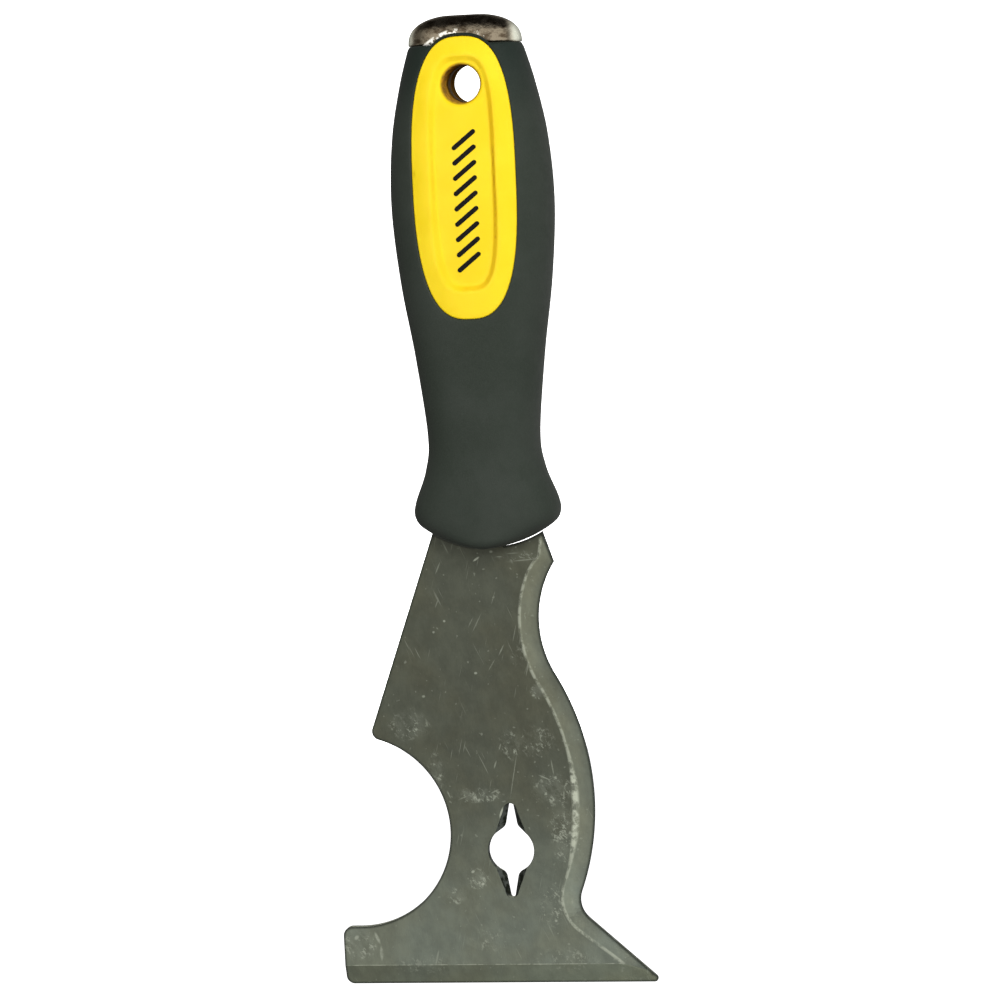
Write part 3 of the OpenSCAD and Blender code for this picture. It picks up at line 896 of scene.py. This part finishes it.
def surface_y(x, z, sink):
    a, b = section_at(z)
    k = np.clip(np.abs(x) / (a - sink), 0, 1) ** section_power
    return (b - sink) * (1 - k) ** (1 / section_power)


def window_loop(grow):
    return superellipse(window_half + grow, window_power, 150) + [0, window_mid]


def top_line(lower):
    """The top edge of the grip in the front view, left to right: shoulder, arch, shoulder."""
    z = shoulder_z - lower
    arch = superellipse(window_half + window_rim - lower, window_power, 720) + [0, window_mid]
    arch = arch[(arch[:, 1] > z)]
    arch = arch[np.argsort(arch[:, 0])]
    foot_l, foot_r = arch[0, 0], arch[-1, 0]
    along = np.linspace(0, 1, 41)
    length = np.concatenate([[0], np.cumsum(np.linalg.norm(np.diff(arch, axis=0), axis=1))])
    arch = np.stack([np.interp(along * length[-1], length, arch[:, i]) for i in (0, 1)], 1)
    a, _ = section_at(np.array([z]))
    left = np.stack([np.linspace(-a[0], foot_l, 13), np.full(13, z)], 1)
    right = np.stack([np.linspace(foot_r, a[0], 13), np.full(13, z)], 1)
    return np.vstack([left[:-1], arch, right[1:]])


def inner_skin(uv, side):
    """The inside of the grip, raised over the floor of the heel."""
    floor_starts, floor_blend = heel_z + 7, 6.5
    points = from_wrap(uv, side, grip_wall)
    points[:, 2] += grip_wall * smooth((floor_starts - points[:, 2]) / floor_blend)
    return points


def make_grip(material):
    lip, window_lip = 0.5, 0.45
    seam_step, spacing, floor_points = 1.2, 1.25, 15
    tuck, tuck_from, tuck_over, cap_gap, cap_bite = 0.15, 8, 4, 0.1, 0.2
    roll = np.radians(np.linspace(0, 90, 5))
    floor_u = np.linspace(girth, -girth, floor_points)
    skin = Skin()
    for side in (-1, 1):
        top = to_wrap(top_line(lip))
        top[0, 0], top[-1, 0] = -girth, girth
        bottom_v = travel[-1]
        seam = np.arange(top[0, 1], bottom_v, seam_step)[1:]
        seam = np.append(seam[seam < bottom_v - seam_step / 2], bottom_v)
        right = np.stack([np.full(len(seam), girth), seam], 1)
        left = right[::-1] * [-1, 1]
        base = np.stack([floor_u, np.full(floor_points, bottom_v)], 1)
        outline = closed(top, right, base, left, top[:1])
        window = to_wrap(window_loop(window_lip))
        low, high = outline.min(0), outline.max(0)
        points, faces = fill([outline, window], [], [(low, high, spacing)])
        skin.add(from_wrap(points, side), faces)
        skin.add(inner_skin(points, side), faces)

        # Rolled edge of the window, then its wall down to the inner skin
        rings = []
        for a in roll:
            flat = window_loop(window_lip * (1 - math.sin(a)))
            ring = from_wrap(to_wrap(flat), side)
            ring[:, 1] -= side * window_lip * (1 - math.cos(a))
            rings.append(ring)
        rings.append(inner_skin(window, side))
        skin.strip(rings)

        # Rolled top edge, then back to the cap and down to the inner skin. The arch stops just
        # short of the cap; the shoulders turn in under it
        rings = []
        for a in roll:
            flat = top_line(lip * (1 - math.sin(a)))
            uv = to_wrap(flat)
            uv[0, 0], uv[-1, 0] = -girth, girth
            rings.append(from_wrap(uv, side, lip * (1 - math.cos(a))))
        ring = rings[-1].copy()
        arch = ring[:, 2] > shoulder_z + 0.02
        far = smooth((np.abs(ring[:, 0]) - tuck_from) / tuck_over)
        ring[:, 0] *= 1 - tuck * np.where(arch, 0, far)
        depth = np.abs(ring[:, 1])
        under = np.minimum(cap_half_t - cap_bite, (1 - tuck) * depth)
        back = np.where(arch, cap_half_t + cap_gap, under)
        ring[:, 1] = side * np.minimum(back, depth)
        rings += [ring, inner_skin(top, side)]
        skin.strip(rings, wrap=False)

    # Floor of the heel, and of the inner skin
    uv = np.stack([-floor_u, np.full(floor_points, travel[-1])], 1)
    for skin_at in (from_wrap, inner_skin):
        skin.strip([skin_at(uv, side) for side in (-1, 1)], wrap=False)
    skin.build("soft_grip", material, "grip_sleeve")


# --------------------------------------------------------------------- core


def panel_sink(x, z):
    """How far the panel is sunk at a place, from 0 outside it to panel_depth on its floor."""
    u, w = np.abs(x) / panel_half[0], np.abs(z - panel_mid) / panel_half[1]
    f = np.maximum((u ** panel_power + w ** panel_power), 1e-9) ** (1 / panel_power)
    gx = (u / f) ** (panel_power - 1) / panel_half[0]
    gz = (w / f) ** (panel_power - 1) / panel_half[1]
    away = (f - 1) / np.maximum(np.hypot(gx, gz), 1e-6)
    return panel_depth * smooth(0.5 - away / panel_wall)


def pieces_outside(curve, radius):
    """The stretches of a curve that keep out of a circle about the origin."""
    out = np.linalg.norm(curve, axis=1) > radius
    stretches, run = [], []
    for point, ok in zip(curve, out):
        if ok:
            run.append(point)
        elif run:
            stretches.append(np.array(run))
            run = []
    if run:
        stretches.append(np.array(run))
    return [s for s in stretches if len(s) > 1]


def pad_face(p, side, up=0.0):
    """Places on the face of a pad, or as far above it as up says."""
    y = surface_y(p[:, 0], p[:, 1], window_sink) - panel_sink(p[:, 0], p[:, 1]) + up
    return plane_to_space(p, side * y)


def make_core(material, name, node, side):
    play, edge, tang_gap = 0.05, 0.4, 0.1
    rail_steps, rail_clear, face_spacing, back_spacing = (-0.8, -0.3, 0.3, 0.8), 0.3, 0.8, 4.0
    roll = np.radians(np.linspace(0, 90, 5))
    outer, inner = window_loop(-play), window_loop(-play - edge)
    circle = arc((0, 0), hole_r + hole_round, 0, 360, 0.5)[:-1]
    low, high = outer.min(0), outer.max(0)
    wall = superellipse(panel_half, panel_power, 160) + [0, panel_mid]
    rails = [np.vstack([w, w[:1]]) for w in (offset(wall, g) for g in rail_steps)]
    rails = [piece for r in rails
             for piece in pieces_outside(r, hole_r + hole_round + rail_clear)]
    points, faces = fill([inner, circle], rails, [(low, high, face_spacing)])
    skin = Skin()
    skin.add(pad_face(points, side), faces)
    start = pad_face(inner, side)
    rings = []
    for a in roll:
        flat = outer + (inner - outer) * (1 - math.sin(a))
        ring = plane_to_space(flat, start[:, 1] - side * edge * (1 - math.cos(a)))
        rings.append(ring)
    floor = side * (blade_t / 2 + tang_gap)
    rings.append(plane_to_space(outer, floor))
    skin.strip(rings)

    # Rounded mouth of the hanging hole, then its wall
    mouth = pad_face(circle, side)[:, 1]
    throat = side * hole_throat
    rings = []
    for a in np.radians(np.linspace(0, 90, 9)):
        flat = circle * (hole_r + hole_round * (1 - math.sin(a))) / (hole_r + hole_round)
        rings.append(plane_to_space(flat, mouth + (throat - mouth) * (1 - math.cos(a))))
    flat = circle * hole_r / (hole_r + hole_round)
    for k in (0.3, 0.6, 1.0):
        rings.append(plane_to_space(flat, throat + (floor - throat) * k))
    skin.strip(rings)

    # Back of the pad, on the tang
    points, faces = fill([outer, flat], [], [(low, high, back_spacing)])
    skin.add(plane_to_space(points, floor), faces)
    piece = skin.build(name, material, node)
    x, y, z = piece_points(piece).T
    sunk = panel_sink(x, z) / panel_depth
    on_face = np.abs(y) > hole_throat
    attribute(piece, "wall", np.where(on_face, 4 * sunk * (1 - sunk), 0))


def make_marks(material):
    """A column of slanted bars, raised from the floor of the front panel."""
    half_length, half_width, slant = 2.8, 0.52, 38
    foot, top, roll, roll_drop, knee, knee_drop = -0.25, 0.2, 0.14, 0.12, 0.35, 0.03
    skin = Skin()
    for z in np.linspace(-12.4, -39.6, 9):
        ends = [np.array([0.4, z]) + s * half_length * polar(slant) for s in (1, -1)]
        loop = closed(arc(ends[0], half_width, slant - 90, slant + 90, 0.12),
                      arc(ends[1], half_width, slant + 90, slant + 270, 0.12))
        inner = offset(loop, roll)
        rounded = loop + (inner - loop) * knee
        skin.strip([pad_face(loop, -1, foot), pad_face(loop, -1, top - roll_drop),
                    pad_face(rounded, -1, top - knee_drop), pad_face(inner, -1, top)])
        points, faces = fill([inner], [], [(inner.min(0), inner.max(0), 0.5)])
        skin.add(pad_face(points, -1, top), faces)
        points, faces = fill([loop], [], [])
        skin.add(pad_face(points, -1, foot), faces)
    skin.build("panel_marks", material, None)


# ---------------------------------------------------------------------- cap


def make_cap(material):
    """A dome whose top flattens out above the knee."""
    knee = 0.97
    height = cap_high[2] - cap_base
    full = math.sin(math.radians(75)) ** (2 / cap_power)
    skin = Skin()
    rings = []
    for a in np.radians(np.linspace(0, 88, 30)):
        k = math.cos(a) ** (2 / cap_power)
        s = math.sin(a) ** (2 / cap_power) / full
        up = s if s < knee else knee + (1 - knee) * math.tanh((s - knee) / (1 - knee))
        flat = superellipse((cap_half_w * k, cap_half_t * k), cap_section_power, 120)
        rings.append(np.column_stack([flat, np.full(len(flat), cap_base + height * up)]))
    skin.strip(rings)
    for ring in (rings[0], rings[-1]):
        middle = ring.mean(0)
        n = len(ring)
        skin.add(np.vstack([ring, middle]), [(i, (i + 1) % n, n) for i in range(n)])
    skin.build("striking_cap", material, "hammer_cap")


# -------------------------------------------------------------------- stage


def make_stage():
    """A pale floor and backdrop in one sweep, well clear of the tool."""
    s = Shader("pale sweep")
    tone = s.noise(0.004, 2.0, 0.5)
    colour = s.mix(tone, (0.93, 0.93, 0.93), (0.95, 0.95, 0.95))
    material = s.finish(Base_Color=colour, Roughness=0.9, Emission_Color=(1, 1, 1, 1),
                        Emission_Strength=1.3)
    floor_z, front_y, back_y, top_z, width, bend = -330.0, -1500.0, 1500.0, 2200.0, 3000.0, 400.0
    side = [(front_y, floor_z), (back_y - bend, floor_z)]
    side += [tuple(p) for p in arc((back_y - bend, floor_z + bend), bend, -90, 0, 40)]
    side += [(back_y, top_z)]
    rings = [[(x, y, z) for y, z in side] for x in (-width, width)]
    mesh = bpy.data.meshes.new("sweep")
    n = len(side)
    mesh.from_pydata([tuple(c * MM for c in p) for ring in rings for p in ring], [],
                     [(i, i + 1, n + i + 1, n + i) for i in range(n - 1)])
    mesh.shade_smooth()
    mesh.materials.append(material)
    sweep = bpy.data.objects.new("sweep", mesh)
    bpy.context.scene.collection.objects.link(sweep)
    sweep.visible_glossy = False
    sweep.visible_diffuse = False


def area_light(name, place, size, power):
    middle = Vector((0, 0, -0.095))
    light = bpy.data.lights.new(name, "AREA")
    light.shape = "RECTANGLE"
    light.size, light.size_y = size
    light.energy = power
    holder = bpy.data.objects.new(name, light)
    holder.location = place
    holder.rotation_euler = (middle - Vector(place)).to_track_quat("-Z", "Y").to_euler()
    holder.visible_glossy = False
    bpy.context.scene.collection.objects.link(holder)


def make_world():
    """Room round the tool: bright towards the camera, dim at the sides and behind, dark above."""
    world = bpy.data.worlds.new("studio")
    bpy.context.scene.world = world
    s = Nodes(world)
    x, y, z = s.split(s.add("ShaderNodeTexCoord").outputs["Generated"])
    room = s.mix(s.ramp(y, -0.55, 0.1), (0.62, 0.61, 0.57), (0.16, 0.16, 0.15))
    room = s.mix(s.ramp(x, 0.35, 0.8), room, (0.5, 0.5, 0.48))
    room = s.mix(s.ramp(x, -0.8, -0.35, 1, 0), room, (0.12, 0.12, 0.11))
    room = s.mix(s.ramp(z, 0.5, 0.85), room, (0.02, 0.02, 0.02))
    room = s.mix(s.ramp(z, -0.8, -0.3, 1, 0), room, (0.2, 0.2, 0.19))
    background = s.add("ShaderNodeBackground", {"Color": room, "Strength": 1.0})
    s.add("ShaderNodeOutputWorld", {"Surface": background.outputs[0]})


def make_camera():
    """From the right and a little above, rolled so that the handle leans left."""
    azimuth, elevation, roll = math.radians(11), math.radians(5.5), math.radians(2.77)
    distance = 0.9
    look = Vector((2.88, 0, -94.0)) * MM
    back = Vector((math.sin(azimuth) * math.cos(elevation),
                   -math.cos(azimuth) * math.cos(elevation), math.sin(elevation)))
    data = bpy.data.cameras.new("camera")
    data.sensor_width = 36
    data.lens = 143.1
    data.clip_start, data.clip_end = 0.05, 20
    camera = bpy.data.objects.new("camera", data)
    turn = (-back).to_track_quat("-Z", "Y").to_matrix() @ Matrix.Rotation(-roll, 3, "Z")
    camera.matrix_world = Matrix.Translation(look + back * distance) @ turn.to_4x4()
    bpy.context.scene.collection.objects.link(camera)
    bpy.context.scene.camera = camera


steel = steel_material()
core = core_material()
make_blade(steel)
make_grip(rubber_material())
make_core(core, "core_front_pad", "core_front", -1)
make_core(core, "core_rear_pad", "core_rear", 1)
make_marks(ink_material())
make_cap(chrome_material())
pins = pin_material()
for node in ("core_rivets", "cap_pin"):
    frame["nodes"][node].data.materials.clear()
    frame["nodes"][node].data.materials.append(pins)

make_stage()
area_light("key", (0.6, -1.1, 0.6), (0.8, 0.8), 22)
area_light("fill", (-0.5, -1.3, 0.1), (0.9, 0.9), 6)
area_light("rear", (-0.2, 1.25, 0.35), (0.9, 0.9), 12)
make_world()
make_camera()
bpy.context.scene.view_settings.view_transform = "Standard"

bpy.context.view_layer.update()
